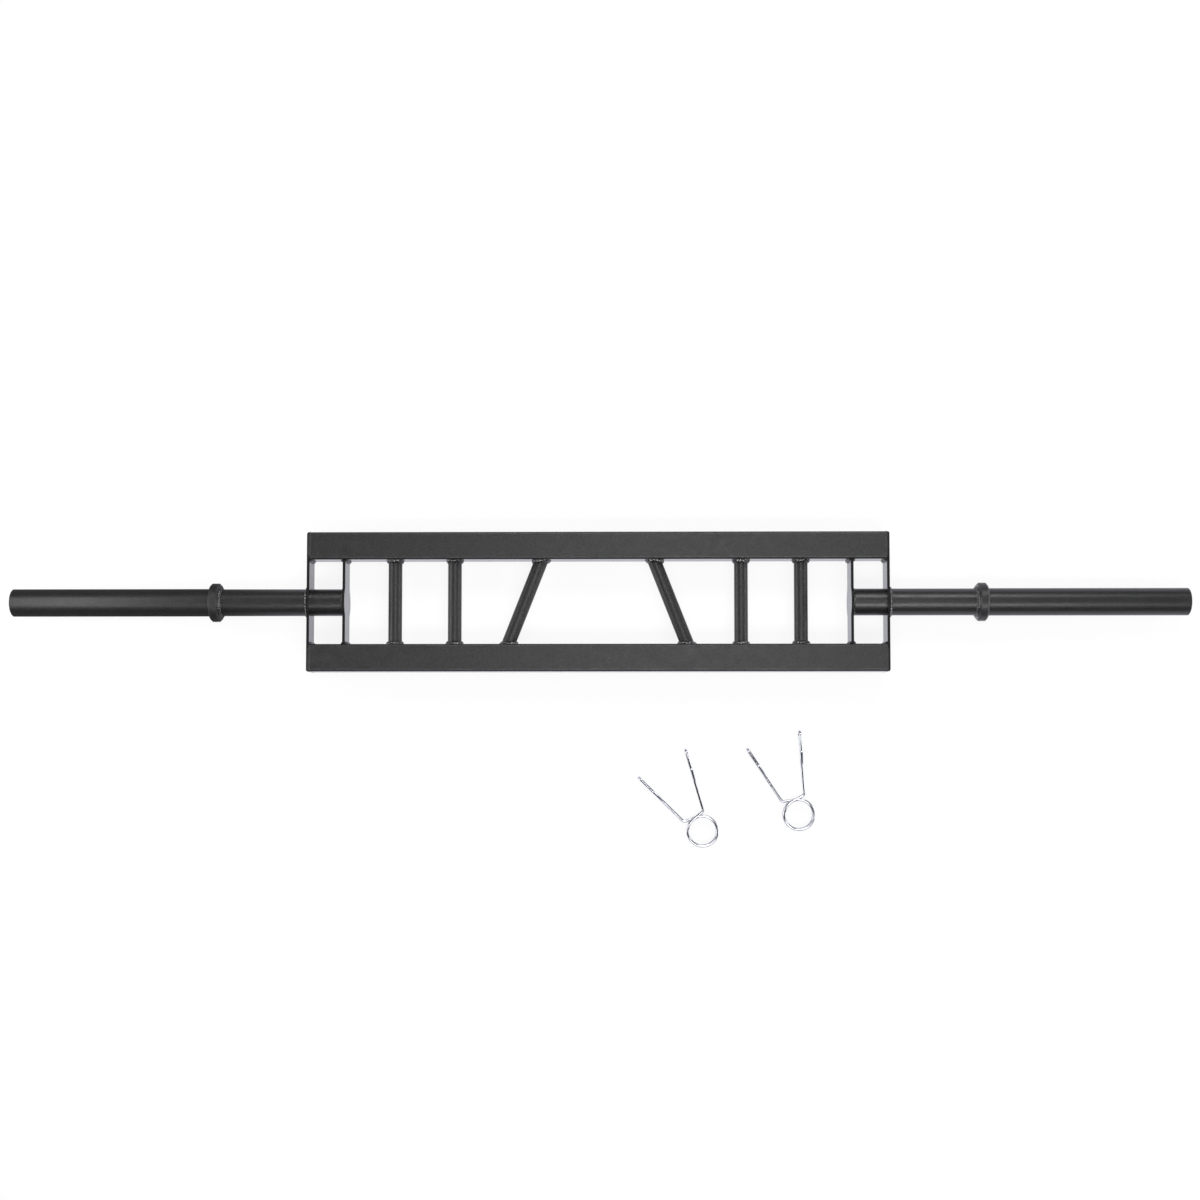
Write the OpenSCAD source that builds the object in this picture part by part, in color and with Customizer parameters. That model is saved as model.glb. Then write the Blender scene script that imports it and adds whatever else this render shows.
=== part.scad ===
// Multi-grip barbell: two square rails with straight and angled grips between them, plate sleeves
// welded into paired end plates, and two wire spring collars lying beside the bar.
// Millimetres. X runs along the sleeves, Y across the frame, Z up. The origin is on the sleeves'
// axis at the middle of the bar, which lies flat on its stop rings.

/* [Bar] */
// Length of the bar from end to end
bar_l = 2134; // [2060:1:2300]

/* [Rails] */
// Width and depth of the square rail tube
rail_w = 50; // [40:1:60]
// Wall of the rail tube
rail_wall = 3; // [2:0.5:4]
// Outside corner radius of the rail tube
rail_corner_r = 5; // [4.5:0.5:8]
// Clear height between the two rails, for the hands
hand_gap = 153; // [130:1:180]

/* [End plates] */
// Thickness of every end plate
plate_t = 5; // [4:0.5:10]
// Diameter of the round part of a plate, around the sleeve
plate_eye_d = 70; // [64:1:80]
// Radius that the upper and lower edges of an outer plate's far face are ground to
plate_edge_r = 2.5; // [0.5:0.5:2.5]
// Clear width of the window between the inner and the outer plate
window_w = 60; // [45:1:75]

/* [Grips] */
// Outside diameter of a grip tube
grip_d = 25; // [22:0.5:32]
// Wall of a grip tube
grip_wall = 2.5; // [1.5:0.5:4]
// Distance of the outer grips from the middle of the bar
outer_grip_x = 368.5; // [355:0.5:380]
// Clear width for a hand between an outer grip and the inner plate
outer_space = 75; // [65:0.5:90]
// Distance of the inner grips from the middle of the bar
inner_grip_x = 260; // [240:1:280]
// Distance of the angled grips from the middle of the bar, at mid-height
angled_grip_x = 132.5; // [110:0.5:150]
// Lean of the angled grips, in degrees
angled_grip_lean = 21.5; // [10:0.1:25]

/* [Sleeves] */
// Outside diameter of a plate sleeve, where it takes plates
sleeve_d = 50; // [48:0.5:54]
// Wall of the sleeve where it takes plates
sleeve_wall = 5; // [3:0.5:8]
// Depth by which the sleeve is turned down from its stop ring to its inner end
shoulder = 0.5; // [0.3:0.1:1]
// Stretch that takes plates, from the stop ring to the end
loading_l = 363; // [320:1:400]
// Outside diameter of the stop ring
ring_d = 70; // [64:1:90]
// Width of the stop ring along the sleeve
ring_w = 18; // [14:1:30]
// Chamfer on both rims of the stop ring
ring_chamfer = 3.3; // [1:0.1:5]
// Clearance between the sleeve's shoulder and the chamfer in the stop ring's bore
shoulder_clear = 0.3; // [0.1:0.1:1]

/* [End caps] */
// Thickness of the cap outside the tube
cap_t = 3; // [2:0.5:6]
// Length of the cap's plug inside the tube
cap_plug_l = 10; // [6:1:20]
// Chamfer on the cap's outer edge
cap_chamfer = 1; // [0.5:0.1:1.5]

/* [Weld beads] */
// Spread of a grip's weld bead on the rail
grip_weld_leg = 3; // [2:0.5:4]
// Height of a grip's weld bead along the grip
grip_weld_h = 6; // [3:0.5:8]
// Leg of the beads in the corners of plates and rails
plate_weld_leg = 4; // [2:0.5:6]
// Leg of the bead around the sleeve at the outer plate
sleeve_weld_leg = 5; // [2:0.5:6]
// Leg of the bead around the sleeve at the inner plate
inner_weld_leg = 3; // [2:0.5:5]
// Leg of the bead between the stop ring and the sleeve
ring_weld_leg = 4; // [2:0.5:7]
// Width of the seam bead over the joint of a rail and its outer plate
seam_w = 5; // [3:0.5:5]
// Height of the seam bead over the rail's face
seam_h = 0.6; // [0.4:0.1:1.8]

/* [Spring collars] */
// Diameter of the collar wire
wire_d = 5; // [4:0.1:5.6]
// How much smaller than the sleeve the bore of the relaxed coil is, so that it grips
coil_squeeze = 1; // [0.2:0.1:2]
// Turns of the coil, counted to where the two arms cross
coil_turns = 3; // [2:1:5]
// Clear gap between neighbouring turns
coil_gap = 1; // [0.7:0.05:2]
// Angle between the two arms of a relaxed collar
arm_spread = 29; // [20:1:40]
// Distance from the coil's middle line out to each arm's bend
arm_bend_gap = 10; // [8:0.5:15]
// Distance by which an arm's line misses the coil's axis
arm_offset = 12; // [8:0.5:14]
// Length of an arm from its bend to the tip of its loop
arm_l = 115; // [100:1:140]
// Radius of the wire's middle line in the arm's bend
arm_bend_r = 7; // [5:0.5:8]
// Radius of the wire's middle line round the tip of the handle loop
loop_r = 8.5; // [7:0.5:11]
// Straight length of the handle loop's return
loop_l = 26; // [15:1:35]
// Slope at which the loop's return comes back to the arm, in degrees
loop_slope = 28; // [20:1:40]
// Clear gap between the end of the wire and the arm that it comes back to
loop_end_gap = 0.4; // [0.2:0.1:2]
// Left collar's coil, along the bar
left_collar_x = 190; // [120:1:240]
// Left collar's coil, from the bar's axis
left_collar_y = -415; // [-500:1:-380]
// Way that the left collar's arms point, in degrees from X
left_collar_turn = 121; // [90:1:150]
// Right collar's coil, along the bar
right_collar_x = 365; // [340:1:420]
// Right collar's coil, from the bar's axis
right_collar_y = -385; // [-500:1:-380]
// Way that the right collar's arms point, in degrees from X
right_collar_turn = 109; // [90:1:130]

/* [Hidden] */
$fn = 96;
LEFT = -1;
RIGHT = 1;
UPPER = 1;
LOWER = -1;
coat = [0.13, 0.13, 0.14];
weld_coat = [0.2, 0.2, 0.21];
chrome = [0.8, 0.81, 0.83];
over = 1; // how far a cutting shape reaches past what it cuts

// Places along the bar, from its middle
inner_plate_x = outer_grip_x + grip_d / 2 + outer_space;
sleeve_start = inner_plate_x + plate_t;
outer_plate_x = sleeve_start + window_w;
frame_end = outer_plate_x + plate_t;
rail_l = 2 * outer_plate_x;
sleeve_end = bar_l / 2 - cap_t;
ring_outer_x = bar_l / 2 - loading_l;
ring_inner_x = ring_outer_x - ring_w;

// Places across the frame
rail_face_y = hand_gap / 2;
rail_mid_y = rail_face_y + rail_w / 2;
frame_h = hand_gap + 2 * rail_w;
sleeve_r = sleeve_d / 2;
seat_r = sleeve_r - shoulder; // of the stretch that the plates and the stop ring sit on
bore_r = sleeve_r - sleeve_wall;
floor_z = -max(ring_d, plate_eye_d) / 2;

// Shape of a collar, seen along its coil's axis with the arms pointing to +X
wire_r = wire_d / 2;
coil_r = (sleeve_d - coil_squeeze) / 2 + wire_r;
coil_pitch = wire_d + coil_gap;
arm_bend_out = coil_r + arm_bend_gap;
bend_angle = arm_spread / 2 + asin(arm_offset / arm_bend_out);
exit_angle = acos(coil_r / arm_bend_out) - bend_angle;
exit_turn = 90 - exit_angle - arm_spread / 2;
coil_lead = wire_d; // straight wire that the coil keeps at each end
bend_reach = arm_bend_r * tan(exit_turn / 2);
coil_sweep = 360 * coil_turns - 2 * exit_angle;
coil_rise = coil_pitch * coil_sweep / 360;
wire_z = floor_z + wire_r;

// Handle loop, seen from the side
loop_drop = 2 * loop_r - (wire_r + loop_end_gap + wire_r * cos(loop_slope));
slope_l = (loop_drop - arm_bend_r * (1 - cos(loop_slope))) / sin(loop_slope);

// Wire as a tube: its sides, the coil's rings a turn, and the steps of each bend
wire_sides = 6;
coil_rings = 24;
coil_steps = round(coil_sweep / 360 * coil_rings);
bend_steps = 5;
loop_steps = 10;
slope_steps = 3;

// Mirrors a shape that is drawn on the right side to the side asked for
module on_side(side) {
    mirror([side == LEFT ? 1 : 0, 0, 0]) children();
}

// Puts a shape that is drawn along Z along X
module along_x(x) {
    translate([x, 0, 0]) rotate([90, 0, 90]) children();
}

module rounded_square(w, r) {
    square([w, w - 2 * r], center = true);
    square([w - 2 * r, w], center = true);
    for (x = [-1, 1], y = [-1, 1])
        translate([x * (w / 2 - r), y * (w / 2 - r)]) circle(r = r);
}

module rail(row) {
    color(coat) translate([0, row * rail_mid_y, 0])
        along_x(-rail_l / 2)
            linear_extrude(height = rail_l)
                difference() {
                    rounded_square(rail_w, rail_corner_r);
                    rounded_square(rail_w - 2 * rail_wall, rail_corner_r - rail_wall);
                }
}

// Tube from rail to rail, cut to the rails' faces. A lean tips its upper end to the middle.
module grip(side, x, lean) {
    long = hand_gap / cos(lean) + 2 * grip_d;
    color(coat) on_side(side)
        translate([x, 0, 0])
            intersection() {
                rotate([0, 0, lean]) rotate([90, 0, 0])
                    difference() {
                        cylinder(d = grip_d, h = long, center = true);
                        cylinder(d = grip_d - 2 * grip_wall, h = long + over, center = true);
                    }
                cube([2 * long, hand_gap, 2 * grip_d], center = true);
            }
}

// Round section of a grip's foot on the rail, slanted with the grip
module slanted(lean) {
    multmatrix([[1 / cos(lean), 0, tan(lean), 0], [0, 1, 0, 0], [0, 0, 1, 0]]) children();
}

// Weld bead at one end of a grip, tapering from the rail's face along the grip
module grip_weld(side, row, x, lean) {
    foot_x = x - row * rail_face_y * tan(lean);
    on_side(side)
        translate([foot_x, row * rail_face_y, 0])
            rotate([row * 90, 0, 0])
                slanted(row * lean)
                    difference() {
                        cylinder(d1 = grip_d + 2 * grip_weld_leg, d2 = grip_d, h = grip_weld_h);
                        translate([0, 0, -over]) cylinder(d = grip_d, h = grip_weld_h + 2 * over);
                    }
}

module grip_welds(row) {
    color(weld_coat) for (side = [LEFT, RIGHT]) {
        grip_weld(side, row, outer_grip_x, 0);
        grip_weld(side, row, inner_grip_x, 0);
        grip_weld(side, row, angled_grip_x, angled_grip_lean);
    }
}

// Outline of an end plate, as deep as the rails, with a round part behind the sleeve
module plate_outline(h) {
    square([h, rail_w], center = true);
    circle(d = plate_eye_d);
}

// Outline of an outer plate seen from above, with the ground edges of its far face
module ground_outline() {
    translate([outer_plate_x, -frame_h / 2]) square([plate_t - plate_edge_r, frame_h]);
    translate([outer_plate_x, plate_edge_r - frame_h / 2]) square([plate_t, frame_h - 2 * plate_edge_r]);
    for (row = [UPPER, LOWER])
        translate([frame_end - plate_edge_r, row * (frame_h / 2 - plate_edge_r)]) circle(r = plate_edge_r);
}

// Plate over both rails' ends, with a hole that the sleeve passes through
module outer_plate(side) {
    color(coat) on_side(side)
        intersection() {
            along_x(outer_plate_x)
                linear_extrude(height = plate_t)
                    difference() {
                        plate_outline(frame_h);
                        circle(r = seat_r);
                    }
            linear_extrude(height = 2 * plate_eye_d, center = true) ground_outline();
        }
}

// Plate between the rails, which the sleeve's inner end stands on
module inner_plate(side) {
    color(coat) on_side(side)
        along_x(inner_plate_x)
            linear_extrude(height = plate_t) plate_outline(hand_gap);
}

// Tube with a low shoulder at the stop ring's outer face, turned down from there inwards
module sleeve(side) {
    color(coat) on_side(side)
        rotate([0, 90, 0])
            rotate_extrude()
                polygon([
                    [bore_r, sleeve_start], [seat_r, sleeve_start],
                    [seat_r, ring_outer_x], [sleeve_r, ring_outer_x],
                    [sleeve_r, sleeve_end], [bore_r, sleeve_end]
                ]);
}

module stop_ring(side) {
    bore_chamfer = shoulder + shoulder_clear;
    color(coat) on_side(side)
        along_x(ring_inner_x)
            rotate_extrude()
                polygon([
                    [seat_r, 0], [ring_d / 2 - ring_chamfer, 0],
                    [ring_d / 2, ring_chamfer], [ring_d / 2, ring_w - ring_chamfer],
                    [ring_d / 2 - ring_chamfer, ring_w], [seat_r + bore_chamfer, ring_w],
                    [seat_r, ring_w - bore_chamfer]
                ]);
}

module end_cap(side) {
    color(coat) on_side(side)
        along_x(sleeve_end) {
            translate([0, 0, -cap_plug_l]) cylinder(r = bore_r, h = cap_plug_l);
            cylinder(d = sleeve_d, h = cap_t - cap_chamfer);
            translate([0, 0, cap_t - cap_chamfer])
                cylinder(d1 = sleeve_d, d2 = sleeve_d - 2 * cap_chamfer, h = cap_chamfer);
        }
}

// Three-cornered bead around the sleeve: it stands on a face at x and tapers along dir
module ring_bead(side, x, dir, leg) {
    color(weld_coat) on_side(side)
        translate([x, 0, 0])
            rotate([0, dir * 90, 0])
                rotate_extrude()
                    polygon([[seat_r, 0], [seat_r + leg, 0], [seat_r, leg]]);
}

module sleeve_welds(side) {
    ring_bead(side, frame_end, 1, sleeve_weld_leg);
    ring_bead(side, sleeve_start, 1, inner_weld_leg);
}

module ring_weld(side) {
    ring_bead(side, ring_inner_x, -1, ring_weld_leg);
}

// Bead along Z in the corner of a plate's face at x and a rail's inner face, on the dir side
module corner_bead(x, row, dir) {
    translate([x, row * rail_face_y, 0])
        linear_extrude(height = rail_w - 2 * rail_corner_r, center = true)
            polygon([[0, 0], [dir * plate_weld_leg, 0], [0, -row * plate_weld_leg]]);
}

// Low crowned bead over the joint of the rail's end and the outer plate, along one face
module seam_bead(length) {
    crown_r = (pow(seam_w / 2, 2) + pow(seam_h, 2)) / (2 * seam_h);
    intersection() {
        translate([0, 0, seam_h - crown_r])
            rotate([90, 0, 0]) cylinder(r = crown_r, h = length, center = true);
        translate([0, 0, seam_h / 2]) cube([seam_w, length, seam_h], center = true);
    }
}

module rail_seams(row) {
    translate([outer_plate_x, row * rail_mid_y, 0]) {
        rotate([row * -90, 0, 0])
            translate([0, 0, rail_w / 2]) seam_bead(rail_w - 2 * rail_corner_r);
        for (face = [0, 180])
            rotate([face, 0, 0])
                translate([0, 0, rail_w / 2]) seam_bead(rail_w - 2 * rail_corner_r);
    }
}

module plate_welds(side) {
    color(weld_coat) on_side(side)
        for (row = [UPPER, LOWER]) {
            corner_bead(outer_plate_x, row, -1);
            corner_bead(inner_plate_x, row, -1);
            corner_bead(sleeve_start, row, 1);
            rail_seams(row);
        }
}

// A station of a wire's middle line is [point, heading in plan, pitch], with angles in degrees
function along(heading) = [cos(heading), sin(heading), 0];

// Ring of the wire's corners around one station, with one corner on top and one below
function ring_at(station) =
    let (
        heading = station[1],
        pitch = station[2],
        out = [-sin(heading), cos(heading), 0],
        up = [-sin(pitch) * cos(heading), -sin(pitch) * sin(heading), cos(pitch)]
    )
    [for (k = [0 : wire_sides - 1])
        let (w = 90 + 360 * k / wire_sides)
        station[0] + wire_r * (cos(w) * out + sin(w) * up)];

// One unbroken tube along a list of stations
module wire(stations) {
    last = len(stations) - 1;
    points = [for (station = stations) each ring_at(station)];
    sides = [for (i = [0 : last - 1], k = [0 : wire_sides - 1])
        let (a = i * wire_sides + k, b = i * wire_sides + (k + 1) % wire_sides)
        each [[a, b, b + wire_sides], [a, b + wire_sides, a + wire_sides]]];
    first_end = [for (k = [1 : wire_sides - 2]) [0, k + 1, k]];
    last_end = [for (k = [1 : wire_sides - 2])
        [last * wire_sides, last * wire_sides + k, last * wire_sides + k + 1]];
    color(chrome) polyhedron(points = points, faces = concat(sides, first_end, last_end));
}

// Coil: a short straight, the turns going up clockwise, and a short straight
function coil_station(i) =
    let (a = -exit_angle - coil_sweep * i / coil_steps)
    [coil_r * along(a) + [0, 0, coil_rise * i / coil_steps], a - 90, 0];
function lead_station(a, way, z) =
    [coil_r * along(a) + way * coil_lead * along(a - 90) + [0, 0, z], a - 90, 0];
coil_line = concat(
    [lead_station(-exit_angle, -1, 0)],
    [for (i = [0 : coil_steps]) coil_station(i)],
    [lead_station(exit_angle, 1, coil_rise)]
);

// Upper arm in plan, from the coil's end to the far side of its bend
exit_heading = exit_angle - 90;
arm_heading = -arm_spread / 2;
bend_point = arm_bend_out * along(-bend_angle);
bend_centre = bend_point - bend_reach * along(exit_heading) + arm_bend_r * along(exit_heading + 90);
function bend_station(heading) =
    [bend_centre + arm_bend_r * along(heading - 90), heading, 0];
arm_root = concat(
    [lead_station(exit_angle, 1, 0)],
    [for (i = [0 : bend_steps])
        bend_station(exit_heading + exit_turn * i / bend_steps)]
);

// The rest of the arm from the side, s along the arm from its bend and h over its middle line:
// out to the loop, round it, back, and down to the arm
function arm_station(s, h, pitch) =
    [bend_point + s * along(arm_heading) + [0, 0, h], arm_heading, pitch];
loop_s = arm_l - loop_r;
slope_s = loop_s - loop_l;
function round_loop(pitch) =
    arm_station(loop_s + loop_r * sin(pitch), loop_r - loop_r * cos(pitch), pitch);
function round_slope(pitch) =
    arm_station(
        slope_s + arm_bend_r * sin(pitch),
        2 * loop_r - arm_bend_r - arm_bend_r * cos(pitch),
        pitch
    );
slope_pitch = 180 + loop_slope;
slope_end = round_slope(slope_pitch)[0]
    + slope_l * (cos(slope_pitch) * along(arm_heading) + [0, 0, sin(slope_pitch)]);
arm_loop = concat(
    [for (i = [0 : loop_steps]) round_loop(180 * i / loop_steps)],
    [for (i = [0 : slope_steps]) round_slope(180 + loop_slope * i / slope_steps)],
    [[slope_end, arm_heading, slope_pitch]]
);

module coil() {
    wire(coil_line);
}

// Upper arm, from the coil's top end
module upper_arm() {
    translate([0, 0, coil_rise]) wire(concat(arm_root, arm_loop));
}

// Lower arm: the mirror image in plan, from the coil's bottom end, with its loop up as well
module lower_arm() {
    mirror([0, 1, 0]) wire(concat(arm_root, arm_loop));
}

// Puts a collar's part in its place: its coil's axis and the way that its arms point
module collar_at(x, y, turn) {
    translate([x, y, wire_z]) rotate([0, 0, turn]) children();
}

// Least clear gap of the coil's tube to itself, between points half a turn or more apart
half_turn = coil_rings / 2;
coil_least_gap = min([for (i = [0 : len(coil_line) - 1 - half_turn])
    for (j = [i + half_turn : len(coil_line) - 1])
        norm(coil_line[i][0] - coil_line[j][0])]) - wire_d;
echo(coil_least_gap = coil_least_gap);

module left_collar() {
    collar_at(left_collar_x, left_collar_y, left_collar_turn) children();
}

module right_collar() {
    collar_at(right_collar_x, right_collar_y, right_collar_turn) children();
}

rail(UPPER);  // upper_rail
rail(LOWER);  // lower_rail
grip(LEFT, outer_grip_x, 0);  // left_outer_grip
grip(LEFT, inner_grip_x, 0);  // left_inner_grip
grip(LEFT, angled_grip_x, angled_grip_lean);  // left_angled_grip
grip(RIGHT, angled_grip_x, angled_grip_lean);  // right_angled_grip
grip(RIGHT, inner_grip_x, 0);  // right_inner_grip
grip(RIGHT, outer_grip_x, 0);  // right_outer_grip
outer_plate(LEFT);  // left_outer_plate
outer_plate(RIGHT);  // right_outer_plate
inner_plate(LEFT);  // left_inner_plate
inner_plate(RIGHT);  // right_inner_plate
sleeve(LEFT);  // left_sleeve
sleeve(RIGHT);  // right_sleeve
stop_ring(LEFT);  // left_stop_ring
stop_ring(RIGHT);  // right_stop_ring
end_cap(LEFT);  // left_end_cap
end_cap(RIGHT);  // right_end_cap
grip_welds(UPPER);  // upper_grip_welds
grip_welds(LOWER);  // lower_grip_welds
plate_welds(LEFT);  // left_plate_welds
plate_welds(RIGHT);  // right_plate_welds
sleeve_welds(LEFT);  // left_sleeve_welds
sleeve_welds(RIGHT);  // right_sleeve_welds
ring_weld(LEFT);  // left_ring_weld
ring_weld(RIGHT);  // right_ring_weld
left_collar() coil();  // left_collar_coil
left_collar() lower_arm();  // left_collar_lower_arm
left_collar() upper_arm();  // left_collar_upper_arm
right_collar() coil();  // right_collar_coil
right_collar() lower_arm();  // right_collar_lower_arm
right_collar() upper_arm();  // right_collar_upper_arm
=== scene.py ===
"""Looks of the multi-grip barbell and its two spring collars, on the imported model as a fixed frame."""

import math
import bpy
from mathutils import Matrix, Vector, noise


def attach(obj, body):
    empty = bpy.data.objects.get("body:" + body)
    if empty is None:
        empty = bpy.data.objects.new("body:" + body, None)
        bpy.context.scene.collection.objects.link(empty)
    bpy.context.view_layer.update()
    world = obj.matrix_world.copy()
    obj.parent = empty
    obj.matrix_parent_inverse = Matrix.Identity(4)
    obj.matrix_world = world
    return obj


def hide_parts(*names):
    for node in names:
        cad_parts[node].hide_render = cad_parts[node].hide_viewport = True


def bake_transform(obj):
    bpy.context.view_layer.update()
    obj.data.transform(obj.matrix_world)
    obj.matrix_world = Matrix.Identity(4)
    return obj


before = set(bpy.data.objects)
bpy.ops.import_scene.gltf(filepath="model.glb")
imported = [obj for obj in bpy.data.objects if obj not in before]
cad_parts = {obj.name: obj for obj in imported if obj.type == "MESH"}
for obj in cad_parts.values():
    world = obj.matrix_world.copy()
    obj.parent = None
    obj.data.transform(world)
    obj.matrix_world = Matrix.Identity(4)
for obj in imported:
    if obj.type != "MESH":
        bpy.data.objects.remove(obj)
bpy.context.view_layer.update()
MM = 0.001
SIDES = ((-1, "left"), (1, "right"))
ROWS = ((1, "upper"), (-1, "lower"))

# Sizes of the bar, in millimetres
RAIL_FACE_Y = 76.5
RAIL_W = 50.0
RAIL_CORNER_R = 5.0
OUTER_PLATE_X = 521.0
INNER_PLATE_X = 456.0
PLATE_T = 5.0
PLATE_EYE_R = 35.0
PLATE_EDGE_R = 2.5
INNER_CORNER_R = 1.0
EASE = 0.4
GRIP_R = 12.5
GRIPS = ((368.5, 0.0), (260.0, 0.0), (132.5, math.radians(21.5)))  # place of the middle, and lean
SEAT_R = 24.5
RING_INNER_X = 686.0
FLOOR_Z = -35.0


# Node trees
class Nodes:
    """Short way to fill the node tree of a material or a world."""

    def __init__(self, owner, shader="Principled BSDF"):
        owner.use_nodes = True
        self.owner = owner
        self.tree = owner.node_tree
        self.shader = self.tree.nodes[shader]

    def add(self, kind, **values):
        node = self.tree.nodes.new(kind)
        for key, value in values.items():
            if hasattr(node, key):
                setattr(node, key, value)
            else:
                node.inputs[key.replace("_", " ")].default_value = value
        return node

    def link(self, out, into):
        self.tree.links.new(out, into)

    def calc(self, operation, *values):
        """Result of a sum on sockets and plain numbers."""
        node = self.add("ShaderNodeMath", operation=operation)
        for socket, value in zip(node.inputs, values):
            if isinstance(value, float):
                socket.default_value = value
            else:
                self.link(value, socket)
        return node.outputs["Value"]

    def split(self, vector):
        """X, Y and Z of a vector."""
        node = self.add("ShaderNodeSeparateXYZ")
        self.link(vector, node.inputs["Vector"])
        return node.outputs

    def spread(self, value, low, high, to_low, to_high):
        """A value between low and high, moved to between two others."""
        node = self.add("ShaderNodeMapRange", From_Min=low, From_Max=high, To_Min=to_low, To_Max=to_high)
        self.link(value, node.inputs["Value"])
        return node.outputs["Result"]

    def noise(self, coords, scale, detail=2.0, roughness=0.5):
        node = self.add("ShaderNodeTexNoise", Scale=scale, Detail=detail, Roughness=roughness)
        self.link(coords, node.inputs["Vector"])
        return node.outputs["Fac"]

    def ramp(self, fac, stops):
        """Grey values or colours between stops of (place, value)."""
        node = self.add("ShaderNodeValToRGB")
        elements = node.color_ramp.elements
        while len(elements) < len(stops):
            elements.new(0.5)
        for element, (place, value) in zip(elements, stops):
            element.position = place
            element.color = (*value, 1.0) if isinstance(value, tuple) else (value, value, value, 1.0)
        self.link(fac, node.inputs["Fac"])
        return node.outputs["Color"]

    def mix(self, fac, first, second):
        """Colour that goes from first to second. Each is a socket or a colour."""
        node = self.add("ShaderNodeMix", data_type="RGBA")
        self.link(fac, node.inputs["Factor"])
        for socket, value in ((node.inputs["A"], first), (node.inputs["B"], second)):
            if isinstance(value, tuple):
                socket.default_value = value
            else:
                self.link(value, socket)
        return node.outputs["Result"]

    def bump(self, height, strength, distance, normal=None):
        node = self.add("ShaderNodeBump", Strength=strength, Distance=distance)
        self.link(height, node.inputs["Height"])
        if normal is not None:
            self.link(normal, node.inputs["Normal"])
        return node.outputs["Normal"]


# Materials. Scales are counted per metre and depths are metres.
LOW, HIGH = 0.3, 0.7  # where the ramps over a noise start and end
GRAIN_SCALE = 430.0
PATCH_SCALE = 45.0
PEEL_SCALE = 260.0
PEEL_DEPTH = 0.0006
FINE_SCALE = 1300.0
FINE_DEPTH = 0.0002
FINE_STRENGTH = 0.35
GLANCING = ((0.70, 1.0), (0.84, 0.25))
EDGE_GLOSS = 0.08
FACE_GLOSS = 0.5
OPEN_GRAIN = ((0.004, 0.004, 0.0042), (0.025, 0.025, 0.0257))
CLOSE_GRAIN = ((0.007, 0.007, 0.0073), (0.018, 0.018, 0.0185))
PLATE_GRAIN = ((0.007, 0.007, 0.0073), (0.017, 0.017, 0.0175))
WIRE_SHADES = ((0.47, 0.48, 0.51), (0.60, 0.61, 0.645))
WIRE_STRETCH = (60.0, 4.0, 1.0)
WIRE_ROUGH = ((0.3, 0.05), (0.75, 0.13))
LINE_STRENGTH, LINE_DEPTH = 0.12, 0.0001
HAZE_SCALE = 90.0


def powder_coat(name, shades, rough, peel, cut_edges=False, ior=1.5):
    """Satin black powder coat: fine grain in colour and gloss over a soft orange peel.

    Seen at a glancing angle it turns glossy, as such a coat does. It stays dull on the cut edges
    of a plate that stands across X.
    """
    m = Nodes(bpy.data.materials.new(name))
    coords = m.add("ShaderNodeTexCoord").outputs
    grain = m.noise(coords["Object"], GRAIN_SCALE, detail=3.0, roughness=0.7)
    m.link(m.ramp(grain, ((LOW, shades[0]), (HIGH, shades[1]))), m.shader.inputs["Base Color"])
    patches = m.noise(coords["Object"], PATCH_SCALE, detail=4.0, roughness=0.6)
    satin = m.ramp(patches, ((LOW, rough[0]), (HIGH, rough[1])))
    facing = m.add("ShaderNodeLayerWeight", Blend=0.5).outputs["Facing"]
    glancing = m.ramp(facing, GLANCING)
    m.link(m.calc("MULTIPLY", satin, glancing), m.shader.inputs["Roughness"])
    soft = m.bump(m.noise(coords["Object"], PEEL_SCALE), peel, PEEL_DEPTH)
    fine = m.bump(m.noise(coords["Object"], FINE_SCALE), FINE_STRENGTH, FINE_DEPTH, soft)
    m.link(fine, m.shader.inputs["Normal"])
    m.shader.inputs["IOR"].default_value = ior
    if cut_edges:
        across = m.calc("ABSOLUTE", m.split(coords["Normal"])["X"])
        gloss = m.ramp(across, ((0.35, EDGE_GLOSS), (0.85, FACE_GLOSS)))
        m.link(gloss, m.shader.inputs["Specular IOR Level"])
    return m.owner


def chrome():
    """Chrome plate on drawn wire: bright, with faint lines along the wire and a trace of haze."""
    m = Nodes(bpy.data.materials.new("chrome_wire"))
    m.shader.inputs["Metallic"].default_value = 1.0
    coords = m.add("ShaderNodeTexCoord").outputs
    stretch = m.add("ShaderNodeMapping", Scale=WIRE_STRETCH)
    m.link(coords["UV"], stretch.inputs["Vector"])
    lines = m.noise(stretch.outputs["Vector"], 1.0, detail=3.0, roughness=0.6)
    m.link(m.ramp(lines, ((LOW, WIRE_SHADES[0]), (HIGH, WIRE_SHADES[1]))), m.shader.inputs["Base Color"])
    haze = m.noise(coords["Object"], HAZE_SCALE, detail=3.0)
    m.link(m.ramp(haze, WIRE_ROUGH), m.shader.inputs["Roughness"])
    m.link(m.bump(lines, LINE_STRENGTH, LINE_DEPTH), m.shader.inputs["Normal"])
    return m.owner


COAT = powder_coat("coated_steel", OPEN_GRAIN, (0.36, 0.49), 0.42)
WELD = powder_coat("coated_welds", CLOSE_GRAIN, (0.16, 0.26), 0.45, ior=1.85)
PLATE = powder_coat("coated_steel_plate", PLATE_GRAIN, (0.36, 0.46), 0.25, cut_edges=True)
SLEEVE = powder_coat("coated_steel_tube", OPEN_GRAIN, (0.32, 0.40), 0.06)
CAP = powder_coat("end_caps", CLOSE_GRAIN, (0.34, 0.44), 0.2)
CHROME = chrome()
FINISHES = (("collar", CHROME), ("weld", WELD), ("end_cap", CAP), ("plate", PLATE), ("sleeve", SLEEVE))


def finish_of(node):
    """Material of a node, by the first of the words above that its name holds."""
    for word, material in FINISHES:
        if word in node:
            return material
    return COAT


for node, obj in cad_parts.items():
    obj.data.materials.clear()
    obj.data.materials.append(finish_of(node))


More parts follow.
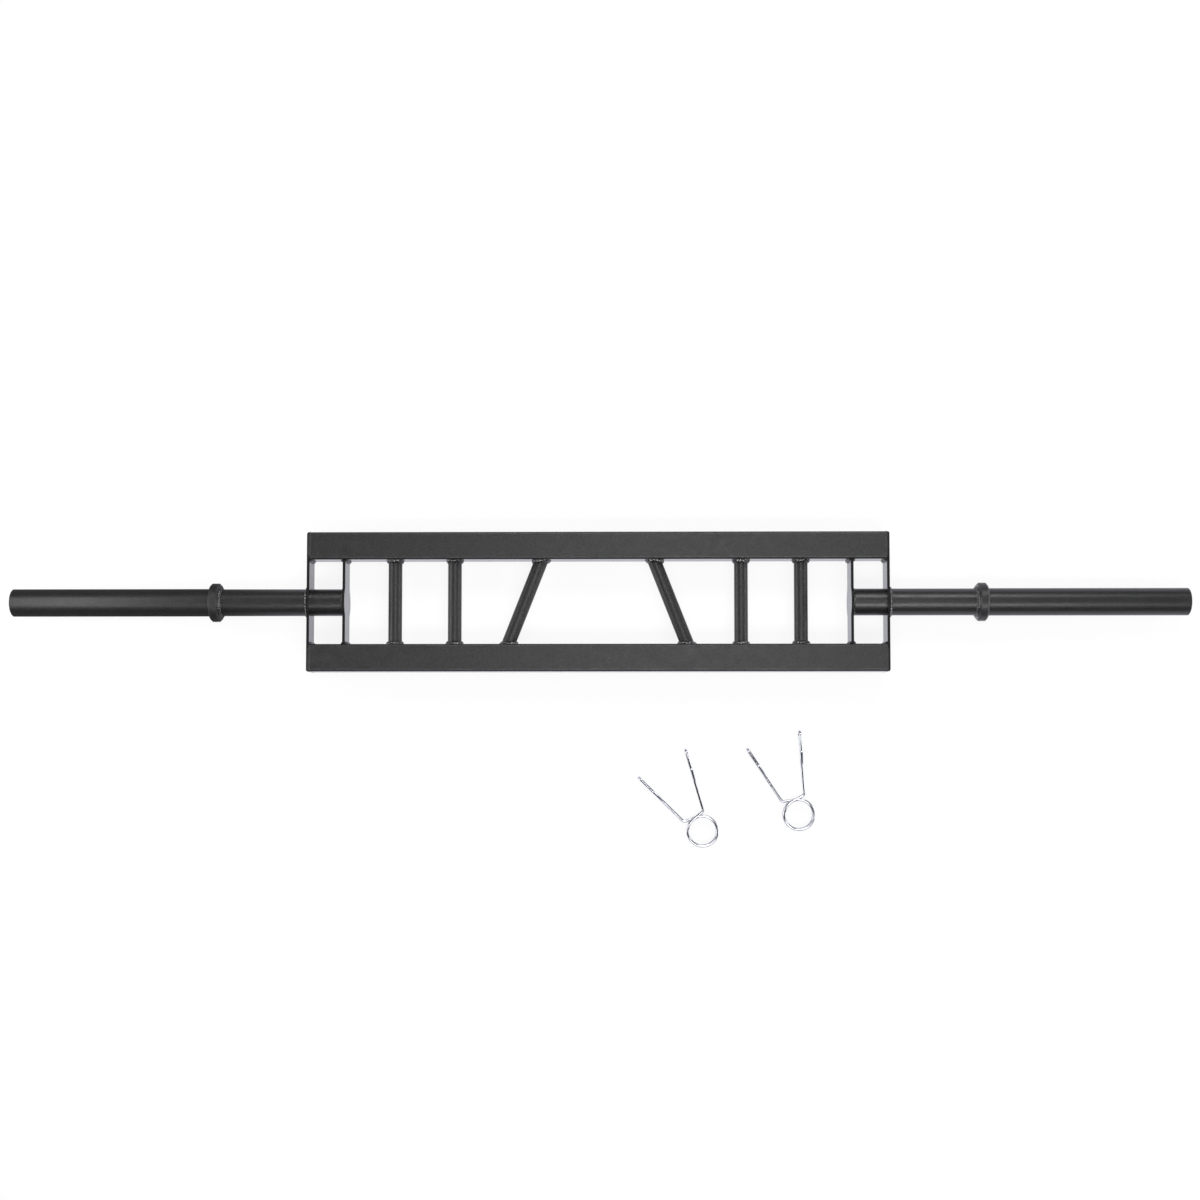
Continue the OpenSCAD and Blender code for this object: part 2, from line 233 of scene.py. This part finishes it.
# Mesh making
def add_object(name, data):
    obj = bpy.data.objects.new(name, data)
    bpy.context.scene.collection.objects.link(obj)
    return obj


def mesh_object(name, points, faces, material, uvs=None):
    """New smooth mesh from points in millimetres."""
    mesh = bpy.data.meshes.new(name)
    mesh.from_pydata([Vector(p) * MM for p in points], [], faces)
    if uvs is not None:
        layer = mesh.uv_layers.new(name="wire")
        for loop in mesh.loops:
            layer.data[loop.index].uv = uvs[loop.vertex_index]
    mesh.materials.append(material)
    mesh.shade_smooth()
    mesh.update()
    return add_object(name, mesh)


def flipped(faces):
    return [tuple(reversed(face)) for face in faces]


def strip_faces(rings, sides, closed_ring, closed_path):
    """Quads between rings of equally many points."""
    faces = []
    around = sides if closed_ring else sides - 1
    for i in range(rings if closed_path else rings - 1):
        j = (i + 1) % rings
        for k in range(around):
            n = (k + 1) % sides
            faces.append((i * sides + k, i * sides + n, j * sides + n, j * sides + k))
    return faces


def join(parts):
    """One list of points and faces from several."""
    points, faces = [], []
    for more_points, more_faces in parts:
        base = len(points)
        points += more_points
        faces += [tuple(base + v for v in face) for face in more_faces]
    return points, faces


# Weld beads, in millimetres. A bead's legs are its widths on its two faces.
BEAD_SECTION = 9
WAVE, LUMP, FINE = 0.12, 0.30, 0.07
WAVE_SKEW = 0.35
LUMP_STEP, FINE_STEP = (0.16, 0.6, 7.3), (0.9, 2.0, 3.1)
CROWN_POWER = 1.25
EDGE_RIPPLE = 0.45
END_SIZE = 0.25
GRIP_LEGS = (5.4, 3.9)
GRIP_STEPS, GRIP_RIPPLES = 96, 22
TUBE_STEPS = 192
OUTER_FOOT, INNER_FOOT, RING_FOOT = (5.2, 5.0, 30), (3.2, 3.2, 38), (3.4, 3.8, 34)  # legs and ripples
CORNER_LEG, CORNER_PITCH, CORNER_STEPS = 4.2, 4.1, 44
CORNER_OVERRUN, CORNER_TAPER = 1.5, 4.0
SEAM_HEIGHT, SEAM_HALF_W, SEAM_WANDER, SEAM_PITCH = 0.4, 2.3, 0.2, 3.6
SEAM_L, SEAM_TAPER = 150.0, 5.0
SEAM_FLAT_STEPS, SEAM_CORNER_STEPS = 24, 8
SEAM_RIPPLE, SEAM_TURN, SEAM_LEAST = 1.6, 0.78, 0.02
WANDER_STEP, WANDER_SEED = 0.2, 2.7


def uneven(step, s, phi, seed):
    """Noise over a bead. Its steps are for s along the bead, phi over its crown and the seed."""
    return noise.noise(Vector((s * step[0], phi * step[1], seed * step[2])))


def ripple(s, phi, pitch, seed):
    """Height of the frozen ripples of a bead, s along it and phi over its crown, and its lumps."""
    wave = math.cos(math.tau * (s / pitch - WAVE_SKEW * math.sin(phi * 2)))
    lump = uneven(LUMP_STEP, s, phi, seed)
    fine = uneven(FINE_STEP, s, phi, seed)
    return WAVE * wave + LUMP * lump + FINE * fine


def bead_mesh(stations, closed, pitch, seed):
    """Bead along stations of (root, way over face a, way over face b, leg a, leg b, distance along)."""
    points = []
    for root, a, b, leg_a, leg_b, s in stations:
        for k in range(BEAD_SECTION):
            phi = math.pi / 2 * k / (BEAD_SECTION - 1)
            edge = math.sin(2 * phi) ** 0.5 if 0 < k < BEAD_SECTION - 1 else 0.0
            grow = 1 + ripple(s, phi, pitch, seed) * (EDGE_RIPPLE + (1 - EDGE_RIPPLE) * edge)
            out_a = leg_a * math.cos(phi) ** CROWN_POWER * grow
            out_b = leg_b * math.sin(phi) ** CROWN_POWER * grow
            points.append(root + a * out_a + b * out_b)
    return points, strip_faces(len(stations), BEAD_SECTION, False, closed)


def end_taper(t, length, reach):
    """Share of its full size that a bead has at t of its length."""
    near = min(t, 1 - t) * length
    return END_SIZE + (1 - END_SIZE) * math.sqrt(min(1.0, near / reach))


def grip_foot_bead(side, row, x, lean, seed):
    """Bead round the foot of a grip on a rail."""
    foot = x - row * RAIL_FACE_Y * math.tan(lean)
    along = Vector((side * row * math.sin(lean), -row * math.cos(lean), 0))
    wide = GRIP_R / math.cos(lean)
    leg_grip, leg_rail = GRIP_LEGS
    stations = []
    for i in range(GRIP_STEPS):
        angle = math.tau * i / GRIP_STEPS
        c, s = math.cos(angle), math.sin(angle)
        root = Vector((side * (foot + wide * c), row * RAIL_FACE_Y, GRIP_R * s))
        out = Vector((side * c / wide, 0, s / GRIP_R)).normalized()
        stations.append((root, out, along, leg_rail, leg_grip, GRIP_R * angle))
    return bead_mesh(stations, True, math.tau * GRIP_R / GRIP_RIPPLES, seed)


def round_bead(x, way, foot, seed):
    """Bead round the sleeve, on a face at x that looks along way."""
    leg_face, leg_tube, ripples = foot
    stations = []
    for i in range(TUBE_STEPS):
        angle = math.tau * i / TUBE_STEPS
        out = Vector((0, math.cos(angle), math.sin(angle)))
        root = Vector((x, 0, 0)) + out * SEAT_R
        stations.append((root, out, Vector((way, 0, 0)), leg_face, leg_tube, SEAT_R * angle))
    return bead_mesh(stations, True, math.tau * SEAT_R / ripples, seed)


def corner_bead(x, way, row, seed):
    """Bead along Z in the corner of an end plate and a rail's inner face."""
    half = RAIL_W / 2 - RAIL_CORNER_R + CORNER_OVERRUN
    over_plate = Vector((0, -row, 0))
    over_rail = Vector((way, 0, 0))
    stations = []
    for i in range(CORNER_STEPS + 1):
        t = i / CORNER_STEPS
        leg = CORNER_LEG * end_taper(t, 2 * half, CORNER_TAPER)
        root = Vector((x, row * RAIL_FACE_Y, half * (2 * t - 1)))
        stations.append((root, over_rail, over_plate, leg, leg, t * 2 * half))
    return bead_mesh(stations, False, CORNER_PITCH, seed)


def seam_path():
    """Way over three faces of a rail as (out from its middle, height, and the normal's two parts)."""
    half = RAIL_W / 2
    flat = half - RAIL_CORNER_R
    path = []
    for turn, (nv, nz) in enumerate(((0, 1), (1, 0), (0, -1))):
        on_v, on_z = nz, -nv
        for i in range(SEAM_FLAT_STEPS + 1):
            w = 2 * flat * i / SEAM_FLAT_STEPS - flat
            path.append((nv * half + on_v * w, nz * half + on_z * w, nv, nz))
        if turn == 2:
            break
        for i in range(1, SEAM_CORNER_STEPS):
            a = math.radians(90 * (1 - turn) - 90 * i / SEAM_CORNER_STEPS)
            c, s = math.cos(a), math.sin(a)
            v = (nv + on_v) * flat + RAIL_CORNER_R * c
            z = (nz + on_z) * flat + RAIL_CORNER_R * s
            path.append((v, z, c, s))
    return path


def seam_bead(side, row, seed):
    """Low bead over the joint of a rail and its outer plate, round three faces of the rail."""
    centre = RAIL_FACE_Y + RAIL_W / 2
    path = seam_path()
    points = []
    s = 0.0
    for i, (v, z, nv, nz) in enumerate(path):
        if i:
            s += math.hypot(v - path[i - 1][0], z - path[i - 1][1])
        size = end_taper(i / (len(path) - 1), SEAM_L, SEAM_TAPER)
        wander = SEAM_WANDER * noise.noise(Vector((s * WANDER_STEP, seed * WANDER_SEED, 0.3)))
        for k in range(BEAD_SECTION):
            u = 2 * k / (BEAD_SECTION - 1) - 1
            waves = SEAM_RIPPLE * ripple(s, (u + 1) * SEAM_TURN, SEAM_PITCH, seed)
            lift = (1 - u * u) * (1 + waves)
            out = max(SEAM_LEAST, SEAM_HEIGHT * size * lift)
            x = OUTER_PLATE_X + SEAM_HALF_W * size * u + wander
            points.append(Vector((side * x, row * (centre + v + nv * out), z + nz * out)))
    return points, strip_faces(len(path), BEAD_SECTION, False, False)


def made_beads():
    """Each node of beads as one piece with frozen ripples, and how many of its faces are glossy.

    The low seams over the rails, which come last, were ground and are as satin as the rails.
    """
    seed = 1
    for row, name in ROWS:
        parts = []
        for side, _ in SIDES:
            for x, lean in GRIPS:
                parts.append(grip_foot_bead(side, row, x, lean, seed))
                seed += 1
        yield f"{name}_grip_welds", join(parts), None
    for side, name in SIDES:
        corners, seams = [], []
        for row, _ in ROWS:
            for x, way in ((OUTER_PLATE_X, -1), (INNER_PLATE_X, -1), (INNER_PLATE_X + PLATE_T, 1)):
                corners.append(corner_bead(side * x, side * way, row, seed))
                seed += 1
            seams.append(seam_bead(side, row, seed))
            seed += 1
        glossy = sum(len(faces) for _, faces in corners)
        yield f"{name}_plate_welds", join(corners + seams), glossy
        outer = round_bead(side * (OUTER_PLATE_X + PLATE_T), side, OUTER_FOOT, seed)
        inner = round_bead(side * (INNER_PLATE_X + PLATE_T), side, INNER_FOOT, seed + 1)
        yield f"{name}_sleeve_welds", join([outer, inner]), None
        yield f"{name}_ring_weld", round_bead(side * RING_INNER_X, -side, RING_FOOT, seed + 2), None
        seed += 3


for node, (points, faces), glossy in made_beads():
    piece = mesh_object(node + "_beads", points, faces, WELD)
    if glossy is not None:
        piece.data.materials.append(COAT)
        for face in piece.data.polygons[glossy:]:
            face.material_index = 1
    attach(piece, "bar")
    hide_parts(node)


# End plates
END_STEPS, ARC_STEPS, FLAT_STEPS, EYE_STEPS = 5, 8, 14, 16
EDGE_STEPS = 6
EASE_MIDDLE = 0.3
FLAT_NORMAL = 0.98


def plate_outline(half_y, corner_r):
    """Points (y, z) of a plate's outline with their outward normals, round its eye and corners."""
    half_z = RAIL_W / 2
    quarter = [(half_y, (half_z - corner_r) * i / END_STEPS, 1.0, 0.0) for i in range(END_STEPS)]
    for i in range(ARC_STEPS + 1):
        a = math.radians(90 * i / ARC_STEPS)
        c, s = math.cos(a), math.sin(a)
        quarter.append((half_y - corner_r + corner_r * c, half_z - corner_r + corner_r * s, c, s))
    foot = math.asin(half_z / PLATE_EYE_R)
    flat = half_y - corner_r - PLATE_EYE_R * math.cos(foot)
    for i in range(1, FLAT_STEPS + 1):
        quarter.append((half_y - corner_r - flat * i / FLAT_STEPS, half_z, 0.0, 1.0))
    for i in range(1, EYE_STEPS + 1):
        a = foot + (math.pi / 2 - foot) * i / EYE_STEPS
        c, s = math.cos(a), math.sin(a)
        quarter.append((PLATE_EYE_R * c, PLATE_EYE_R * s, c, s))
    half = quarter + [(-y, z, -ny, nz) for y, z, ny, nz in reversed(quarter[1:-1])]
    return half + [(-y, -z, -ny, -nz) for y, z, ny, nz in half]


def rounding(r, deep):
    """How far an edge of radius r lies back from its face where the section is deep into it."""
    return r - math.sqrt(max(0.0, r ** 2 - deep ** 2))


def plate_mesh(side, start, half_y, corner_r, hole_r, far_edge_r):
    """Plate across X with eased edges. The ends of its far face are ground to far_edge_r."""
    outline = plate_outline(half_y, corner_r)
    count = len(outline)
    far = start + PLATE_T
    round_r = max(far_edge_r, EASE)
    places = [start, start + EASE * EASE_MIDDLE, start + EASE]
    for i in range(EDGE_STEPS + 1):
        places.append(far - round_r + round_r * math.sin(math.radians(90 * i / EDGE_STEPS)))
    points = []
    for x in places:
        edge = rounding(EASE, max(0.0, EASE - (x - start), EASE - (far - x)))
        ground = max(edge, rounding(round_r, max(0.0, x - (far - round_r))))
        for y, z, ny, nz in outline:
            inset = ground * ny * ny + edge * (1 - ny * ny)
            points.append(Vector((side * x, y - ny * inset, z - nz * inset)))
    faces = strip_faces(len(places), count, True, False)
    last = len(points) - count
    for x, base, order in ((far, last, 1), (start, 0, -1)):
        inner = len(points)
        if hole_r:
            for y, z, _, _ in outline:
                a = math.atan2(z, y)
                points.append(Vector((side * x, hole_r * math.cos(a), hole_r * math.sin(a))))
        else:
            points.append(Vector((side * x, 0, 0)))
        for k in range(count):
            n = (k + 1) % count
            face = (base + k, base + n, inner + n, inner + k) if hole_r else (base + k, base + n, inner)
            faces.append(face[::order])
    if hole_r:
        far_ring, near_ring = last + count, last + 2 * count
        for k in range(count):
            n = (k + 1) % count
            faces.append((far_ring + k, far_ring + n, near_ring + n, near_ring + k))
    return points, faces if side > 0 else flipped(faces)


for side, name in SIDES:
    outer = plate_mesh(side, OUTER_PLATE_X, RAIL_FACE_Y + RAIL_W, RAIL_CORNER_R, SEAT_R, PLATE_EDGE_R)
    inner = plate_mesh(side, INNER_PLATE_X, RAIL_FACE_Y, INNER_CORNER_R, 0, 0)
    for node, (points, faces) in ((f"{name}_outer_plate", outer), (f"{name}_inner_plate", inner)):
        piece = mesh_object(node + "_eased", points, faces, PLATE)
        for face in piece.data.polygons:
            face.use_smooth = abs(face.normal.x) < FLAT_NORMAL
        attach(piece, "bar")
        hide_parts(node)


# Spring collars, in millimetres
WIRE_R = 2.5
WIRE_SIDES = 16
COIL_R = 27.0
COIL_TURNS = 3
COIL_PITCH = 6.0
TURN_STEPS = 64
LEAD = 5.0
ARM_SPREAD = math.radians(29)
ARM_BEND_OUT = 37.0
ARM_OFFSET = 12.0
ARM_L = 115.0
BEND_R = 7.0
LOOP_R = 8.5
LOOP_L = 26.0
LOOP_SLOPE = math.radians(28)
END_GAP = 0.4
BEND_STEPS, LOOP_STEPS, FOLD_STEPS = 12, 24, 8
ROUNDED_END = ((0.5, WIRE_R), (0.15, WIRE_R - 0.15), (0.0, WIRE_R - 0.5), (0.0, 0.02))  # way back, radius
UV_ROUND, UV_ALONG = 0.5, 0.01
COLLARS = (("left", 190.0, -415.0, math.radians(121)), ("right", 365.0, -385.0, math.radians(109)))

# Angles of the wire that follow from these
BEND_ANGLE = ARM_SPREAD / 2 + math.asin(ARM_OFFSET / ARM_BEND_OUT)
EXIT_ANGLE = math.acos(COIL_R / ARM_BEND_OUT) - BEND_ANGLE
EXIT_HEADING = EXIT_ANGLE - math.pi / 2
EXIT_TURN = math.pi / 2 - EXIT_ANGLE - ARM_SPREAD / 2
COIL_SWEEP = math.tau * COIL_TURNS - 2 * EXIT_ANGLE
COIL_RISE = COIL_PITCH * COIL_SWEEP / math.tau
ARM_HEADING = -ARM_SPREAD / 2


def flat_way(heading):
    """Unit vector in plan."""
    return Vector((math.cos(heading), math.sin(heading), 0))


def wire_mesh(stations, rounded_end):
    """Round wire along stations of (point, heading in plan, pitch), open at its start."""
    rows = [(p, h, q, WIRE_R) for p, h, q in stations]
    if rounded_end:
        p, h, q = stations[-1]
        forward = flat_way(h) * math.cos(q) + Vector((0, 0, math.sin(q)))
        rows[-1:] = [(p - forward * back, h, q, r) for back, r in ROUNDED_END]
    points, uvs = [], []
    s = 0.0
    last = None
    for p, h, q, r in rows:
        s += (p - last).length if last is not None else 0.0
        last = p
        out = Vector((-math.sin(h), math.cos(h), 0))
        up = Vector((-math.sin(q) * math.cos(h), -math.sin(q) * math.sin(h), math.cos(q)))
        for k in range(WIRE_SIDES):
            w = math.tau * k / WIRE_SIDES
            points.append(p + out * (r * math.cos(w)) + up * (r * math.sin(w)))
            uvs.append((k / WIRE_SIDES * UV_ROUND, s * UV_ALONG))
    return points, strip_faces(len(rows), WIRE_SIDES, True, False), uvs


def coil_stations():
    """Coil from its lower end up, with a straight lead at both ends."""
    steps = TURN_STEPS * COIL_TURNS
    start = -EXIT_ANGLE
    end = start - COIL_SWEEP
    quarter = math.pi / 2
    stations = [(COIL_R * flat_way(start) - LEAD * flat_way(start - quarter), start - quarter, 0.0)]
    for i in range(steps + 1):
        a = start - COIL_SWEEP * i / steps
        stations.append((COIL_R * flat_way(a) + Vector((0, 0, COIL_RISE * i / steps)), a - quarter, 0.0))
    tip = COIL_R * flat_way(end) + LEAD * flat_way(end - quarter) + Vector((0, 0, COIL_RISE))
    stations.append((tip, end - quarter, 0.0))
    return stations


def arm_stations():
    """Upper arm at the height of its own wire: out of the coil, round its bend and round its loop."""
    bend_point = ARM_BEND_OUT * flat_way(-BEND_ANGLE)
    reach = BEND_R * math.tan(EXIT_TURN / 2)
    centre = bend_point - reach * flat_way(EXIT_HEADING) + BEND_R * flat_way(EXIT_HEADING + math.pi / 2)
    stations = [(COIL_R * flat_way(EXIT_ANGLE) + LEAD * flat_way(EXIT_HEADING), EXIT_HEADING, 0.0)]
    for i in range(BEND_STEPS + 1):
        h = EXIT_HEADING + EXIT_TURN * i / BEND_STEPS
        stations.append((centre + BEND_R * flat_way(h - math.pi / 2), h, 0.0))

    def at(s, rise, pitch):
        return bend_point + s * flat_way(ARM_HEADING) + Vector((0, 0, rise)), ARM_HEADING, pitch

    loop_s = ARM_L - LOOP_R
    slope_s = loop_s - LOOP_L
    for i in range(LOOP_STEPS + 1):
        q = math.pi * i / LOOP_STEPS
        stations.append(at(loop_s + LOOP_R * math.sin(q), LOOP_R - LOOP_R * math.cos(q), q))
    for i in range(FOLD_STEPS + 1):
        q = math.pi + LOOP_SLOPE * i / FOLD_STEPS
        rise = 2 * LOOP_R - BEND_R - BEND_R * math.cos(q)
        stations.append(at(slope_s + BEND_R * math.sin(q), rise, q))
    drop = 2 * LOOP_R - (WIRE_R + END_GAP + WIRE_R * math.cos(LOOP_SLOPE))
    slope_l = (drop - BEND_R * (1 - math.cos(LOOP_SLOPE))) / math.sin(LOOP_SLOPE)
    q = math.pi + LOOP_SLOPE
    down = math.cos(q) * flat_way(ARM_HEADING) + Vector((0, 0, math.sin(q)))
    stations.append((stations[-1][0] + slope_l * down, ARM_HEADING, q))
    return stations


def placed(points, x, y, turn, rise, flip):
    """Points of a collar's piece in the row frame. A flip mirrors it in plan."""
    c, s = math.cos(turn), math.sin(turn)
    out = []
    for p in points:
        py = -p.y if flip else p.y
        out.append(Vector((x + c * p.x - s * py, y + s * p.x + c * py, FLOOR_Z + WIRE_R + rise + p.z)))
    return out


arm_points, arm_faces, arm_uvs = wire_mesh(arm_stations(), True)
coil_points, coil_faces, coil_uvs = wire_mesh(coil_stations(), False)

for name, x, y, turn in COLLARS:
    points = placed(arm_points, x, y, turn, COIL_RISE, False)
    upper = mesh_object(f"{name}_upper_wire", points, arm_faces, CHROME, arm_uvs)
    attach(upper, f"{name}_collar_arm")
    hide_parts(f"{name}_collar_upper_arm")
    points = placed(arm_points, x, y, turn, 0, True)
    lower = mesh_object(f"{name}_lower_wire", points, flipped(arm_faces), CHROME, arm_uvs)
    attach(lower, f"{name}_collar")
    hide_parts(f"{name}_collar_lower_arm")
    points = placed(coil_points, x, y, turn, 0, False)
    coil = mesh_object(f"{name}_coil_wire", points, coil_faces, CHROME, coil_uvs)
    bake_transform(coil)
    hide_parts(f"{name}_collar_coil")


# Floor
BACKDROP = 0.97
FLOOR_HALF = 30.0
FLOOR_GAP = 0.2
FADE_START, FADE_END = 1.7, 3.2
RAMP_SHARE = 0.1  # of a metre, as the fade's ramp runs over 10 m
NEAR_ALBEDO, NEAR_GLOW = 0.11, 0.875
# The second glow here and the X span below paint a dark patch into the floor's reflections under the left
# sleeve: painted shade, with no card or other thing standing there.
MIRRORED_GLOW, DARK_REFLECTION_GLOW = 0.86, 0.0
DARK_REFLECTION_X = (-0.72, -0.50)
# Painted reflection colour: the floor turns faintly blue only where it is seen in reflections.
MIRRORED_TINT = (0.96, 0.96, 1.06, 1)


def floor_material():
    """Pale floor that shows as white to the eye and as a painted pale blue in reflections, and keeps the
    shadow.

    Far out, where the lamps don't reach, it takes the backdrop's colour. Under the left sleeve its glow
    in reflections is painted dark: painted shade seen only in reflections, with nothing standing there.
    """
    m = Nodes(bpy.data.materials.new("floor"))
    m.shader.inputs["Roughness"].default_value = 0.9
    coords = m.add("ShaderNodeTexCoord").outputs["Object"]
    # Painted shade in reflections: the floor's reflected glow falls to nothing under the left sleeve.
    mirrored = m.spread(m.split(coords)["X"], *DARK_REFLECTION_X, DARK_REFLECTION_GLOW, MIRRORED_GLOW)
    reach = m.add("ShaderNodeVectorMath", operation="LENGTH")
    m.link(coords, reach.inputs[0])
    share = m.calc("MULTIPLY", reach.outputs["Value"], RAMP_SHARE)
    start, end = FADE_START * RAMP_SHARE, FADE_END * RAMP_SHARE
    m.link(m.ramp(share, ((start, NEAR_ALBEDO), (end, 0.0))), m.shader.inputs["Base Color"])
    rays = m.add("ShaderNodeLightPath").outputs
    seen = m.calc("MULTIPLY", rays["Is Camera Ray"], m.ramp(share, ((start, NEAR_GLOW), (end, BACKDROP))))
    glow = m.calc("MULTIPLY_ADD", rays["Is Glossy Ray"], mirrored, seen)
    # Painted blue tint of the floor's reflections; to the eye the floor stays white.
    m.link(m.mix(rays["Is Glossy Ray"], (1, 1, 1, 1), MIRRORED_TINT), m.shader.inputs["Emission Color"])
    m.link(glow, m.shader.inputs["Emission Strength"])
    return m.owner


corners = [(x * FLOOR_HALF, y * FLOOR_HALF, 0) for x, y in ((-1, -1), (1, -1), (1, 1), (-1, 1))]
mesh = bpy.data.meshes.new("floor")
mesh.from_pydata(corners, [], [(0, 1, 2, 3)])
mesh.materials.append(floor_material())
floor = add_object("floor", mesh)
floor.location.z = (FLOOR_Z - FLOOR_GAP) * MM

# Lamps: name, place, width and height, power, target
LAMPS = (
    ("strip_back", (0.35, 2.2, 2.0), (2.3, 0.75), 50, (0.18, 0, 0)),
    ("strip_front", (0.35, -1.4, 2.35), (2.3, 0.75), 46, (0.18, 0, 0)),
    ("panel_left", (-1.17, 0.05, 0.6), (1.0, 0.25), 3.0, (-0.98, 0.05, 0)),
    ("panel_top", (0.27, 0.25, 3.3), (0.9, 0.9), 16, (0.27, 0.25, 0)),
    ("side_left", (-2.6, 0, 0.55), (1.8, 1.0), 24, (0, 0, 0)),
    ("side_right", (2.6, 0, 0.55), (1.8, 1.0), 24, (0, 0, 0)),
)

for name, place, (width, height), power, target in LAMPS:
    data = bpy.data.lights.new(name, "AREA")
    data.shape = "RECTANGLE"
    data.size, data.size_y = width, height
    data.energy = power
    lamp = add_object(name, data)
    lamp.location = place
    lamp.rotation_euler = (Vector(target) - Vector(place)).to_track_quat("-Z", "Y").to_euler()

# World: light by height, dimmed towards the left
SKY = ((0.0, 0.03), (0.30, 0.05), (0.62, 0.13), (0.97, 0.20))
DIM_X = (-0.30, 0.0)
DIM = 0.35

world = Nodes(bpy.data.worlds.new("studio"), "Background")
direction = world.split(world.add("ShaderNodeTexCoord").outputs["Generated"])
dimming = world.spread(direction["X"], *DIM_X, DIM, 1.0)
sky = world.calc("MULTIPLY", world.ramp(direction["Z"], SKY), dimming)
camera_ray = world.add("ShaderNodeLightPath").outputs["Is Camera Ray"]
shown = world.mix(camera_ray, sky, (BACKDROP, BACKDROP, BACKDROP, 1))
world.link(shown, world.shader.inputs["Color"])
bpy.context.scene.world = world.owner

# Camera, at the place that the photo's view of the end plates gives
CAMERA_PLACE = Vector((0.0475, -0.2539, 3.0048))
CAMERA_AIM = Vector((0.0041, -0.1034, 0.0))
LENS = 49.76
SENSOR_W = 36.0
SHIFT_Y = 0.0493


def aim_camera(ahead):
    """Turn of a camera that looks ahead with the frame's Y as near as can be to its up."""
    back = -ahead.normalized()
    right = Vector((0, 1, 0)).cross(back).normalized()
    up = back.cross(right)
    return Matrix((right, up, back)).transposed().to_euler()


data = bpy.data.cameras.new("camera")
data.lens = LENS
data.sensor_width = SENSOR_W
data.shift_y = SHIFT_Y
camera = add_object("camera", data)
camera.location = CAMERA_PLACE
camera.rotation_euler = aim_camera(CAMERA_AIM - CAMERA_PLACE)
bpy.context.scene.camera = camera
bpy.context.scene.view_settings.view_transform = "Standard"
